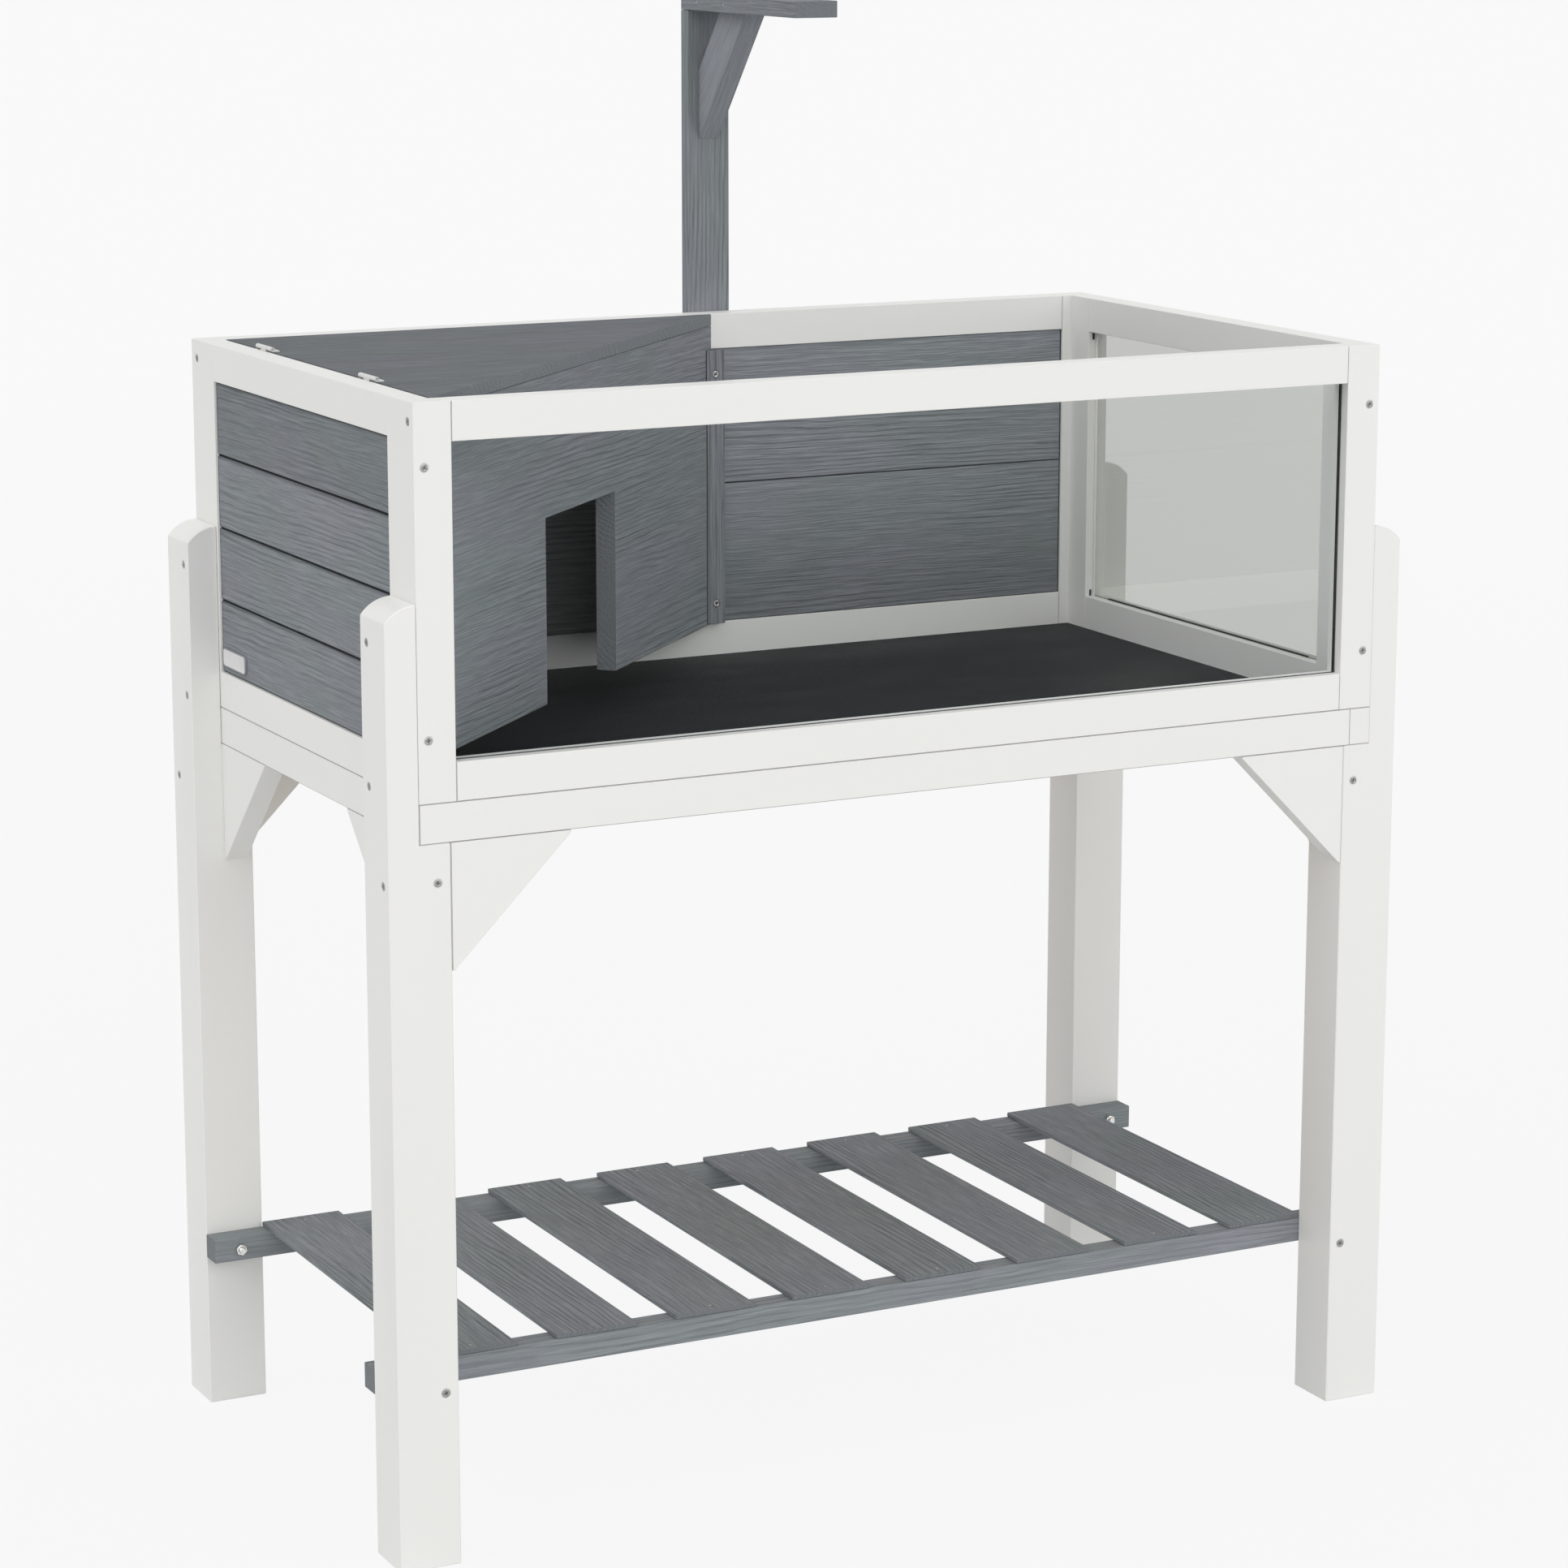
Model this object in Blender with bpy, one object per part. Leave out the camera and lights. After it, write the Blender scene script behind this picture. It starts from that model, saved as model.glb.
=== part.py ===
"""Tortoise house on legs.

An open-topped box of painted wood stands on four notched legs. Its left and rear walls are planked,
its front and right walls hold clear sheets, and a hinged triangular lid covers a hide in the left
corner. A slatted shelf joins the legs and a lamp stand rises behind the rear wall.
X runs along the box, +Y points to its rear and +Z up. The origin is on the floor, in the middle of
the whole house. All lengths are in metres.
"""
import math

import bmesh
import bpy
from mathutils import Matrix, Vector

# Fits
fit_gap = 0.0003
cut_overrun = 0.01
sharp_angle = math.radians(25)

# Box and wall frames
box_length = 1.000
box_depth = 0.562
wall_height = 0.354
frame_thickness = 0.0245
stile_width = 0.0355
rail_height = 0.0355
frame_edge = 0.0004

# Planks of the left wall, and the two wide ones of the rear wall
side_plank_count = 4
rear_low_plank = 0.1435
plank_recess = 0.0025
plank_thickness = 0.0195
side_plank_chamfer = 0.0016
rear_plank_chamfer = 0.0005

# Clear sheets of the front and right walls
sheet_thickness = 0.003
sheet_lap = 0.006
sheet_play = 0.0007
sheet_edge = 0.0003

# Base frame and floor
apron_height = 0.036
apron_thickness = 0.0225
rabbet_width = 0.010
floor_thickness = 0.009
liner_thickness = 0.001
liner_play = 0.0005

# Legs and their gussets
leg_length = 0.674
leg_outer_width = 0.030
leg_inner_width = 0.029
leg_depth = 0.057
leg_lap = 0.214
leg_arc_drop = 0.0150
leg_arc_steps = 7
leg_edge = 0.0008
gusset_size = 0.1165
gusset_thickness = 0.0225
gusset_tip = 0.002

# Shelf between the legs
shelf_rail_size = 0.024
shelf_rail_top = 0.177
slat_count = 8
slat_width = 0.082
slat_thickness = 0.0045
stained_edge = 0.0005

# Hide in the left corner
hide_run = 0.5245
partition_thickness = 0.020
partition_clearance = 0.034
door_start = 0.270
door_width = 0.182
door_height = 0.1765
batten_width = 0.0208
batten_proud = 0.012
lid_thickness = 0.012
lid_edge = 0.0006

# Hinges of the lid
hinge_length = 0.040
hinge_front_inset = 0.1443
hinge_rear_inset = 0.1062
leaf_width = 0.007
leaf_drop = 0.010
leaf_thickness = 0.0012
knuckle_radius = 0.0023
knuckle_length = 0.014
pin_radius = 0.0010
hinge_sides = 16

# Lamp stand
stand_width = 0.046
stand_offset = 0.0585
post_thickness = 0.0155
post_rise = 0.3050
arm_length = 0.253
arm_thickness = 0.016
brace_thickness = 0.022
brace_drop = 0.129
brace_reach = 0.107
brace_end = 0.0695

# Places worked out from the sizes above
left = -box_length / 2
right = box_length / 2
front = -(box_depth + fit_gap + post_thickness) / 2
rear = front + box_depth
apron_bottom = leg_length
apron_top = apron_bottom + apron_height
frame_bottom = apron_top + fit_gap
box_top = apron_top + wall_height
corner_depth = frame_thickness + stile_width
sill = apron_top + rail_height
head = box_top - rail_height


def remove_all():
    for item in list(bpy.data.objects):
        bpy.data.objects.remove(item, do_unlink=True)


def make_material(name, colour, roughness, metallic=0.0, transmission=0.0):
    material = bpy.data.materials.new(name)
    material.use_nodes = True
    shader = material.node_tree.nodes["Principled BSDF"]
    shader.inputs["Base Color"].default_value = (*colour, 1.0)
    shader.inputs["Roughness"].default_value = roughness
    shader.inputs["Metallic"].default_value = metallic
    shader.inputs["Transmission Weight"].default_value = transmission
    return material


def add_object(name, body, material):
    """Put a finished bmesh in the scene as one named object."""
    bmesh.ops.recalc_face_normals(body, faces=body.faces)
    if body.calc_volume(signed=True) < 0:
        bmesh.ops.reverse_faces(body, faces=body.faces)
    mesh = bpy.data.meshes.new(name)
    body.to_mesh(mesh)
    body.free()
    item = bpy.data.objects.new(name, mesh)
    bpy.context.scene.collection.objects.link(item)
    if material is not None:
        mesh.materials.append(material)
    return item


def ease_edges(item, width):
    """Take the sharpness off every outward corner, and leave inward corners alone."""
    body = bmesh.new()
    body.from_mesh(item.data)
    weight = body.edges.layers.float.new("bevel_weight_edge")
    for edge in body.edges:
        edge[weight] = float(edge.calc_face_angle_signed() > sharp_angle)
    body.to_mesh(item.data)
    body.free()
    bevel = item.modifiers.new("eased edges", "BEVEL")
    bevel.width = width
    bevel.segments = 1
    bevel.limit_method = "WEIGHT"


def block(name, low, high, material, edge=0.0):
    """A squared board between two opposite corners."""
    low, high = Vector(low), Vector(high)
    body = bmesh.new()
    bmesh.ops.create_cube(body, size=1.0)
    bmesh.ops.scale(body, verts=body.verts, vec=high - low)
    bmesh.ops.translate(body, verts=body.verts, vec=(low + high) / 2)
    item = add_object(name, body, material)
    if edge:
        ease_edges(item, edge)
    return item


def prism(name, outline, axis, start, end, material):
    """A flat outline drawn in the plane square to an axis, and extruded along that axis."""
    place = {"X": lambda a, b, t: (t, a, b), "Y": lambda a, b, t: (a, t, b), "Z": lambda a, b, t: (a, b, t)}
    body = bmesh.new()
    corners = [body.verts.new(place[axis](a, b, start)) for a, b in outline]
    face = body.faces.new(corners)
    grown = bmesh.ops.extrude_face_region(body, geom=[face])
    moved = [part for part in grown["geom"] if isinstance(part, bmesh.types.BMVert)]
    bmesh.ops.translate(body, verts=moved, vec=Vector(place[axis](0, 0, end - start)))
    return add_object(name, body, material)


def rod(name, centre, radius, length, material):
    """A round bar along Y, by its middle."""
    body = bmesh.new()
    place = Matrix.Translation(Vector(centre)) @ Matrix.Rotation(math.pi / 2, 4, "X")
    bmesh.ops.create_cone(body, cap_ends=True, segments=hinge_sides, radius1=radius, radius2=radius,
                          depth=length, matrix=place)
    return add_object(name, body, material)


def guide(item):
    item.hide_render = True
    item.display_type = "WIRE"
    return item


def combine(item, other, operation):
    """Cut or join one object with a guide object."""
    boolean = item.modifiers.new(other.name, "BOOLEAN")
    boolean.operation = operation
    boolean.solver = "EXACT"
    boolean.object = guide(other)


def wall_posts(white):
    """Four corner posts, each an L in plan that carries the ends of two wall frames."""
    outline = [(0, 0), (stile_width, 0), (stile_width, frame_thickness),
               (frame_thickness, frame_thickness), (frame_thickness, corner_depth), (0, corner_depth)]
    posts = {}
    for side, x_corner, x_way in (("left", left, 1), ("right", right, -1)):
        for end, y_corner, y_way in (("front", front, 1), ("rear", rear, -1)):
            plan = [(x_corner + x_way * a, y_corner + y_way * b) for a, b in outline]
            post = prism(f"corner_post_{end}_{side}", plan, "Z", frame_bottom, box_top, white)
            ease_edges(post, frame_edge)
            posts[end, side] = post
    return posts


def wall_rails(white):
    """A top and a bottom rail between the posts of each wall."""
    levels = {"bottom": (frame_bottom, sill), "top": (head, box_top)}
    long_ends = (left + stile_width + fit_gap, right - stile_width - fit_gap)
    short_ends = (front + corner_depth + fit_gap, rear - corner_depth - fit_gap)
    rails = {}
    for level, (low, high) in levels.items():
        for wall, y_low in (("front", front), ("rear", rear - frame_thickness)):
            rails[wall, level] = block(f"{wall}_{level}_rail", (long_ends[0], y_low, low),
                                       (long_ends[1], y_low + frame_thickness, high), white, frame_edge)
        for wall, x_low in (("left", left), ("right", right - frame_thickness)):
            rails[wall, level] = block(f"{wall}_{level}_rail", (x_low, short_ends[0], low),
                                       (x_low + frame_thickness, short_ends[1], high), white, frame_edge)
    return rails


def plank_outline(face, low, high, chamfer):
    """Section of one plank, with its four long edges chamfered."""
    back = face + plank_thickness
    return [(face + chamfer, low), (back - chamfer, low), (back, low + chamfer), (back, high - chamfer),
            (back - chamfer, high), (face + chamfer, high), (face, high - chamfer), (face, low + chamfer)]


def wall_planks(grey):
    """Level planks that fill the left and the rear frame."""
    low = sill + fit_gap
    pitch = (head - low) / side_plank_count
    side_levels = [low + number * pitch for number in range(side_plank_count + 1)]
    rear_levels = [low, low + rear_low_plank, head]
    walls = (
        ("left", "Y", left + plank_recess, side_levels, side_plank_chamfer,
         front + corner_depth + fit_gap, rear - corner_depth - fit_gap),
        ("rear", "X", rear - plank_recess - plank_thickness, rear_levels, rear_plank_chamfer,
         left + stile_width + fit_gap, right - stile_width - fit_gap),
    )
    for wall, axis, face, levels, chamfer, start, end in walls:
        for number, (bottom, top) in enumerate(zip(levels, levels[1:]), 1):
            outline = plank_outline(face, bottom, top - fit_gap, chamfer)
            prism(f"{wall}_plank_{number}", outline, axis, start, end, grey)


def clear_sheets(acrylic, posts, rails):
    """Two clear sheets, let into grooves in the middle of their frames."""
    low = sill - sheet_lap
    high = head + sheet_lap
    middle = frame_thickness / 2
    half_sheet = sheet_thickness / 2
    half_groove = half_sheet + sheet_play

    x_ends = (left + stile_width - sheet_lap, right - stile_width + sheet_lap)
    y_mid = front + middle
    block("front_window", (x_ends[0] + sheet_play, y_mid - half_sheet, low + sheet_play),
          (x_ends[1] - sheet_play, y_mid + half_sheet, high - sheet_play), acrylic, sheet_edge)
    groove = block("front groove", (x_ends[0], y_mid - half_groove, low),
                   (x_ends[1], y_mid + half_groove, high), None)
    for piece in (posts["front", "left"], posts["front", "right"], rails["front", "top"],
                  rails["front", "bottom"]):
        combine(piece, groove, "DIFFERENCE")

    y_ends = (front + corner_depth - sheet_lap, rear - corner_depth + sheet_lap)
    x_mid = right - middle
    block("right_window", (x_mid - half_sheet, y_ends[0] + sheet_play, low + sheet_play),
          (x_mid + half_sheet, y_ends[1] - sheet_play, high - sheet_play), acrylic, sheet_edge)
    groove = block("right groove", (x_mid - half_groove, y_ends[0], low),
                   (x_mid + half_groove, y_ends[1], high), None)
    for piece in (posts["front", "right"], posts["rear", "right"], rails["right", "top"],
                  rails["right", "bottom"]):
        combine(piece, groove, "DIFFERENCE")


def base_frame(white, plywood, liner):
    """Four aprons, each covering the end of the next, rabbeted for the floor board and its liner."""
    spans = {
        "front": ((left, front), (right - apron_thickness - fit_gap, front + apron_thickness)),
        "right": ((right - apron_thickness, front), (right, rear - apron_thickness - fit_gap)),
        "rear": ((left + apron_thickness + fit_gap, rear - apron_thickness), (right, rear)),
        "left": ((left, front + apron_thickness + fit_gap), (left + apron_thickness, rear)),
    }
    lip = apron_thickness - rabbet_width
    rabbet = block("floor rabbet", (left + lip, front + lip, apron_top - floor_thickness - fit_gap),
                   (right - lip, rear - lip, apron_top + cut_overrun), None)
    for name, (low, high) in spans.items():
        apron = block(f"{name}_apron", (*low, apron_bottom), (*high, apron_top), white, frame_edge)
        combine(apron, rabbet, "DIFFERENCE")

    inset = lip + fit_gap
    block("floor_board", (left + inset, front + inset, apron_top - floor_thickness),
          (right - inset, rear - inset, apron_top), plywood)
    inset = frame_thickness + liner_play
    block("floor_liner", (left + inset, front + inset, frame_bottom),
          (right - inset, rear - inset, frame_bottom + liner_thickness), liner)


def leg_outline(way):
    """A leg seen from the front, notched under the apron, its outer half lapping the end wall."""
    inner = right - leg_inner_width
    outer = right + leg_outer_width
    lap = right + fit_gap
    top = apron_bottom + leg_lap
    shoulder = apron_bottom - fit_gap
    rise = outer - lap
    radius = (rise ** 2 + leg_arc_drop ** 2) / (2 * leg_arc_drop)
    sweep = math.asin(rise / radius)
    arc = []
    for step in range(leg_arc_steps):
        angle = sweep * (1 - step / (leg_arc_steps - 1))
        arc.append((lap + radius * math.sin(angle), top - radius + radius * math.cos(angle)))
    points = [(inner, 0), (outer, 0), *arc, (lap, shoulder), (inner, shoulder)]
    return [(way * x, z) for x, z in points]


def legs(white):
    for side, way in (("left", -1), ("right", 1)):
        for end, y_low in (("front", front), ("rear", rear - leg_depth)):
            leg = prism(f"leg_{end}_{side}", leg_outline(way), "Y", y_low, y_low + leg_depth, white)
            ease_edges(leg, leg_edge)


def gusset_outline(start, way):
    """A right-angled brace below the apron, its square corner at the leg."""
    top = apron_bottom - fit_gap
    corner = start + way * fit_gap
    reach = corner + way * gusset_size
    low = top - gusset_size
    return [(corner, top), (reach, top), (reach, top - gusset_tip), (corner + way * gusset_tip, low),
            (corner, low)]


def gussets(white):
    """Two gussets at each leg, one under the long apron and one under the short apron."""
    x_faces = (("left", left + leg_inner_width, 1), ("right", right - leg_inner_width, -1))
    y_faces = (("front", front + leg_depth, 1), ("rear", rear - leg_depth, -1))
    for side, x_face, x_way in x_faces:
        for end, y_face, y_way in y_faces:
            y_outer = front if end == "front" else rear
            x_outer = left if side == "left" else right
            long_gusset = prism(f"gusset_{end}_{side}", gusset_outline(x_face, x_way), "Y", y_outer,
                                y_outer + y_way * gusset_thickness, white)
            short_gusset = prism(f"gusset_{side}_{end}", gusset_outline(y_face, y_way), "X", x_outer,
                                 x_outer + x_way * gusset_thickness, white)
            ease_edges(long_gusset, frame_edge)
            ease_edges(short_gusset, frame_edge)


def shelf(grey):
    """Two rails fixed to the inner faces of the legs, with slats laid across them."""
    y_front = front + leg_depth + fit_gap
    y_rear = rear - leg_depth - fit_gap
    reach = right + leg_outer_width
    low = shelf_rail_top - shelf_rail_size
    block("shelf_rail_front", (-reach, y_front, low), (reach, y_front + shelf_rail_size, shelf_rail_top),
          grey, stained_edge)
    block("shelf_rail_rear", (-reach, y_rear - shelf_rail_size, low), (reach, y_rear, shelf_rail_top),
          grey, stained_edge)
    start = left + leg_inner_width
    pitch = (box_length - 2 * leg_inner_width - slat_width) / (slat_count - 1)
    low = shelf_rail_top + fit_gap
    for number in range(slat_count):
        x_low = start + number * pitch
        block(f"shelf_slat_{number + 1}", (x_low, y_front, low),
              (x_low + slat_width, y_rear, low + slat_thickness), grey, stained_edge)


def hide(grey, steel):
    """A slanted partition with a doorway, and a lid that turns on two hinges by the left rail."""
    wall_x = left + frame_thickness
    wall_y = rear - frame_thickness
    back = wall_y - fit_gap
    corner = Vector((wall_x + fit_gap, front + frame_thickness + fit_gap))
    along = (Vector((wall_x + hide_run, wall_y)) - corner).normalized()
    inward = Vector((-along.y, along.x))

    def on_face(offset, x=None, y=None):
        """Point of the partition's face, or of a line behind it, at a given x or y."""
        start = corner + inward * offset
        step = (x - start.x) / along.x if y is None else (y - start.y) / along.y
        return tuple(start + along * step)

    bottom = apron_top + partition_clearance
    top = box_top - lid_thickness
    plan = [tuple(corner), on_face(0, y=back), on_face(partition_thickness, y=back),
            on_face(partition_thickness, x=corner.x)]
    partition = prism("hide_partition", plan, "Z", bottom, top - fit_gap, grey)
    ease_edges(partition, stained_edge)

    doorway = [corner + along * s + inward * t
               for s, t in ((door_start, -cut_overrun), (door_start + door_width, -cut_overrun),
                            (door_start + door_width, partition_thickness + cut_overrun),
                            (door_start, partition_thickness + cut_overrun))]
    cutter = prism("doorway", [tuple(point) for point in doorway], "Z", bottom - cut_overrun,
                   bottom + door_height, None)
    combine(partition, cutter, "DIFFERENCE")

    batten_front = wall_y - batten_proud
    batten_rear = rear - plank_recess - plank_thickness - fit_gap
    batten_x = on_face(0, y=batten_front)[0] + fit_gap
    low = (batten_x, batten_front, sill + fit_gap)
    high = (batten_x + batten_width, batten_rear, head - fit_gap)
    block("hide_batten", low, high, grey, stained_edge)
    room = Vector((fit_gap, fit_gap, fit_gap))
    notch = block("batten notch", Vector(low) - room, Vector(high) + room, None)
    combine(partition, notch, "DIFFERENCE")

    lid_x = wall_x + 2 * fit_gap + leaf_thickness
    lid = prism("hide_lid", [on_face(0, x=lid_x), on_face(0, y=back), (lid_x, back)], "Z", top, box_top, grey)
    ease_edges(lid, lid_edge)

    axis_x = wall_x + fit_gap + knuckle_radius
    axis_z = box_top + fit_gap + knuckle_radius
    axis = bpy.data.objects.new("lid axis", None)
    axis.location = (axis_x, (front + rear) / 2, axis_z)
    bpy.context.scene.collection.objects.link(axis)
    bpy.context.view_layer.update()
    moving = [lid]
    for name, y in (("front", front + frame_thickness + hinge_front_inset), ("rear", wall_y - hinge_rear_inset)):
        moving.append(hinge(name, Vector((axis_x, y, axis_z)), wall_x + fit_gap, steel))
    for item in moving:
        item.parent = axis
        item.matrix_parent_inverse = axis.matrix_world.inverted()


def hinge(name, axis, wall_x, steel):
    """A butt hinge: one leaf on top of the lid, one between the lid's edge and the left rail."""
    half = hinge_length / 2
    knuckle_half = knuckle_length / 2
    y_low = axis.y - half
    y_high = axis.y + half

    frame_leaf = block(f"hinge_{name}_frame_leaf", (wall_x, y_low, box_top - leaf_drop),
                       (wall_x + leaf_thickness, y_high, box_top), steel)
    neck = block(f"{name} neck", (wall_x, axis.y - knuckle_half, box_top - leaf_drop / 2),
                 (wall_x + leaf_thickness, axis.y + knuckle_half, axis.z), None)
    combine(frame_leaf, neck, "UNION")
    middle = rod(f"{name} middle knuckle", axis, knuckle_radius, knuckle_length, None)
    combine(frame_leaf, middle, "UNION")
    pin = rod(f"{name} pin", axis, pin_radius, hinge_length, None)
    combine(frame_leaf, pin, "UNION")

    leaf_low = box_top + fit_gap
    lid_leaf = block(f"hinge_{name}_lid_leaf", (axis.x, y_low, leaf_low),
                     (axis.x + leaf_width, y_high, leaf_low + leaf_thickness), steel)
    outer_length = half - knuckle_half - fit_gap
    for label, y in (("low", y_low + outer_length / 2), ("high", y_high - outer_length / 2)):
        knuckle = rod(f"{name} {label} knuckle", (axis.x, y, axis.z), knuckle_radius, outer_length, None)
        combine(lid_leaf, knuckle, "UNION")
    room = block(f"{name} knuckle room",
                 (axis.x - cut_overrun, axis.y - knuckle_half - fit_gap, leaf_low - cut_overrun),
                 (axis.x + knuckle_radius + fit_gap, axis.y + knuckle_half + fit_gap, leaf_low + cut_overrun),
                 None)
    combine(lid_leaf, room, "DIFFERENCE")
    bore = rod(f"{name} bore", axis, pin_radius + fit_gap, hinge_length + cut_overrun, None)
    combine(lid_leaf, bore, "DIFFERENCE")
    return lid_leaf


def lamp_stand(grey):
    """A post on the rear wall, with an arm over the box and a slanted brace between them."""
    x_low = stand_offset - stand_width / 2
    x_high = stand_offset + stand_width / 2
    post_front = rear + fit_gap
    post_rear = post_front + post_thickness
    arm_low = box_top + post_rise
    block("lamp_post", (x_low, post_front, frame_bottom), (x_high, post_rear, arm_low - fit_gap), grey,
          stained_edge)
    block("lamp_arm", (x_low, post_rear - arm_length, arm_low), (x_high, post_rear, arm_low + arm_thickness),
          grey, stained_edge)
    y_foot = post_front - fit_gap
    z_head = arm_low - fit_gap
    lean = brace_reach / brace_drop
    outline = [(y_foot, z_head - brace_drop), (y_foot, z_head - brace_drop + brace_end),
               (y_foot - (brace_drop - brace_end) * lean, z_head), (y_foot - brace_reach, z_head)]
    brace = prism("lamp_brace", outline, "X", stand_offset - brace_thickness / 2,
                  stand_offset + brace_thickness / 2, grey)
    ease_edges(brace, stained_edge)


def build():
    remove_all()
    white = make_material("white paint", (0.80, 0.80, 0.77), 0.45)
    grey = make_material("grey stain", (0.155, 0.175, 0.190), 0.60)
    plywood = make_material("plywood", (0.60, 0.47, 0.32), 0.70)
    liner = make_material("black liner", (0.012, 0.014, 0.016), 0.50)
    acrylic = make_material("clear acrylic", (0.95, 0.97, 0.97), 0.05, transmission=1.0)
    steel = make_material("zinc-plated steel", (0.62, 0.62, 0.60), 0.35, metallic=1.0)
    posts = wall_posts(white)
    rails = wall_rails(white)
    wall_planks(grey)
    clear_sheets(acrylic, posts, rails)
    base_frame(white, plywood, liner)
    legs(white)
    gussets(white)
    shelf(grey)
    hide(grey, steel)
    lamp_stand(grey)


build()
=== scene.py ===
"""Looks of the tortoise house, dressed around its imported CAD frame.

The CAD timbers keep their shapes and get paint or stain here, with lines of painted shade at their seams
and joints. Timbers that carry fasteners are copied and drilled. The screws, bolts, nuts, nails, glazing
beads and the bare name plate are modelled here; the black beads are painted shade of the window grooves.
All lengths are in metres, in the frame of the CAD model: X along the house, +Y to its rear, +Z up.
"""
import math

import bpy
from mathutils import Matrix, Vector


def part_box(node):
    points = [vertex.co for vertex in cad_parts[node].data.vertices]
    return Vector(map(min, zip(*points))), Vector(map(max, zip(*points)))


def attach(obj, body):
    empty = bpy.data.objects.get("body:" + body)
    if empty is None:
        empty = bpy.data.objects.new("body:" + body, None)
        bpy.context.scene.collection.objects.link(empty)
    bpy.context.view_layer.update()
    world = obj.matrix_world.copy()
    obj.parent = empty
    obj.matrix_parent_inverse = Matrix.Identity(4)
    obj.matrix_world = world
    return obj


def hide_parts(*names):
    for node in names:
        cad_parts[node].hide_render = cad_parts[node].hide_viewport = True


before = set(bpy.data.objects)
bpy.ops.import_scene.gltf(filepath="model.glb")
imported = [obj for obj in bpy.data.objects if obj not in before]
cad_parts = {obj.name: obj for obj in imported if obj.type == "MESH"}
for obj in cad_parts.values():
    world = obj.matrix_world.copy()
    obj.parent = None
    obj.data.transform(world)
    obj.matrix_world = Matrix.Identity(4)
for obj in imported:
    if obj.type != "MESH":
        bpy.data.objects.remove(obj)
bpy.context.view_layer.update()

ENCLOSURE = "enclosure"
LID = "lid"

# Directions that the timbers' grain runs in, and the faces that screws enter
ALONG_X = Vector((1, 0, 0))
ALONG_Y = Vector((0, 1, 0))
ALONG_Z = Vector((0, 0, 1))
FRONTWARD = Vector((0, -1, 0))
REARWARD = Vector((0, 1, 0))
LEFTWARD = Vector((-1, 0, 0))
RIGHTWARD = Vector((1, 0, 0))
UPWARD = Vector((0, 0, 1))
FRONT_AND_REAR = (FRONTWARD, REARWARD)
LEFT_AND_RIGHT = (LEFTWARD, RIGHTWARD)

# Camera of the photograph
PHOTO_PIXELS = 1932
FOCAL_PIXELS = 5452.72
SENSOR_WIDTH = 36.0
CAMERA_PLACE = Vector((-1.93602, -3.80463, 1.53757))
CAMERA_YAW = 0.47193
CAMERA_PITCH = -0.21036
CAMERA_ROLL = 0.00081

# Background, floor and light
BACKGROUND = (0.947, 0.947, 0.947, 1)
WORLD_LIGHT = (0.560, 0.562, 0.567, 1)
FLOOR_BOUNCE = (0.80, 0.80, 0.80, 1)
FLOOR_MATT = (0.86, 0.86, 0.86, 1)
FLOOR_RADIUS = 16
FLOOR_HEIGHT = -0.0004
SHADOW_SHARE = 0.05
SHADOW_FADE = (1.5, 9.0)
SUN_ANGLE = math.radians(60)
SUN_COLOUR = (1.0, 0.995, 0.985)
FRONT_SUN = (1.065, Vector((0.13, -0.97, 0.22)))
LEFT_SUN = (0.86, Vector((-0.62, -0.15, 0.77)))

# Stain and paint. Each stain is multiplied by its own shade.
STAIN_HOLLOW = (0.072, 0.077, 0.081)
STAIN_CREST = (0.280, 0.299, 0.314)
STAIN_GREEN = (0.155, 0.182, 0.186)
STAIN_BLUE = (0.182, 0.186, 0.221)
STAIN_END = (0.134, 0.144, 0.153)
# Painted shade in the gaps and seams between stained boards
GAP_SHADE_COLOUR = (0.011, 0.013, 0.015, 1)
PAINT_FRESH = (0.885, 0.883, 0.862, 1)
PAINT_HANDLED = (0.79, 0.785, 0.755, 1)
# Painted shade in the joints between white timbers
JOINT_SHADE_COLOUR = (0.20, 0.20, 0.19, 1)

# Widths of the painted shade lines at seams, plank ends and joints of white timbers. The last is too
# narrow to show.
SEAM_SHADE_WIDTH = 0.001
GAP_SHADE_WIDTH = 0.0013
JOINT_SHADE_WIDTH = 0.0007
NO_LINE = 0.00001

# One undivided board: its edges lie far outside the house
WHOLE_START = -5.0
WHOLE_PITCH = 10.0

# Fasteners
POCKET_RADIUS = 0.0048
POCKET_DEPTH = 0.0008
HEAD_RADIUS = 0.0036
HEAD_HEIGHT = 0.0022
HEAD_SINK = 0.0003
NAIL_RADIUS = 0.0019
NAIL_SINK = 0.0003
NUT_RADIUS = 0.0058
NUT_HEIGHT = 0.0050
BOLT_RADIUS = 0.0030
LEAF_SCREW_RADIUS = 0.0016


# Working with objects

def pick(item):
    """Make one object the only selected and the active one."""
    bpy.ops.object.select_all(action="DESELECT")
    item.select_set(True)
    bpy.context.view_layer.objects.active = item


def named(name):
    """Name the primitive that was just added, and put its place in its mesh."""
    item = bpy.context.object
    item.name = name
    item.data.name = name
    pick(item)
    bpy.ops.object.transform_apply(location=True, rotation=True, scale=True)
    return item


def block(name, low, high):
    """A squared block between two corners, to be shaped further."""
    low, high = Vector(low), Vector(high)
    bpy.ops.object.select_all(action="DESELECT")
    bpy.ops.mesh.primitive_cube_add(size=1, location=(low + high) / 2, scale=high - low)
    return named(name)


def disc(name, sides, radius, low, high):
    """A round or many-sided block about the Z axis, to be shaped further."""
    bpy.ops.object.select_all(action="DESELECT")
    bpy.ops.mesh.primitive_cylinder_add(vertices=sides, radius=radius, depth=high - low,
                                        location=(0, 0, (low + high) / 2))
    return named(name)


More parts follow.
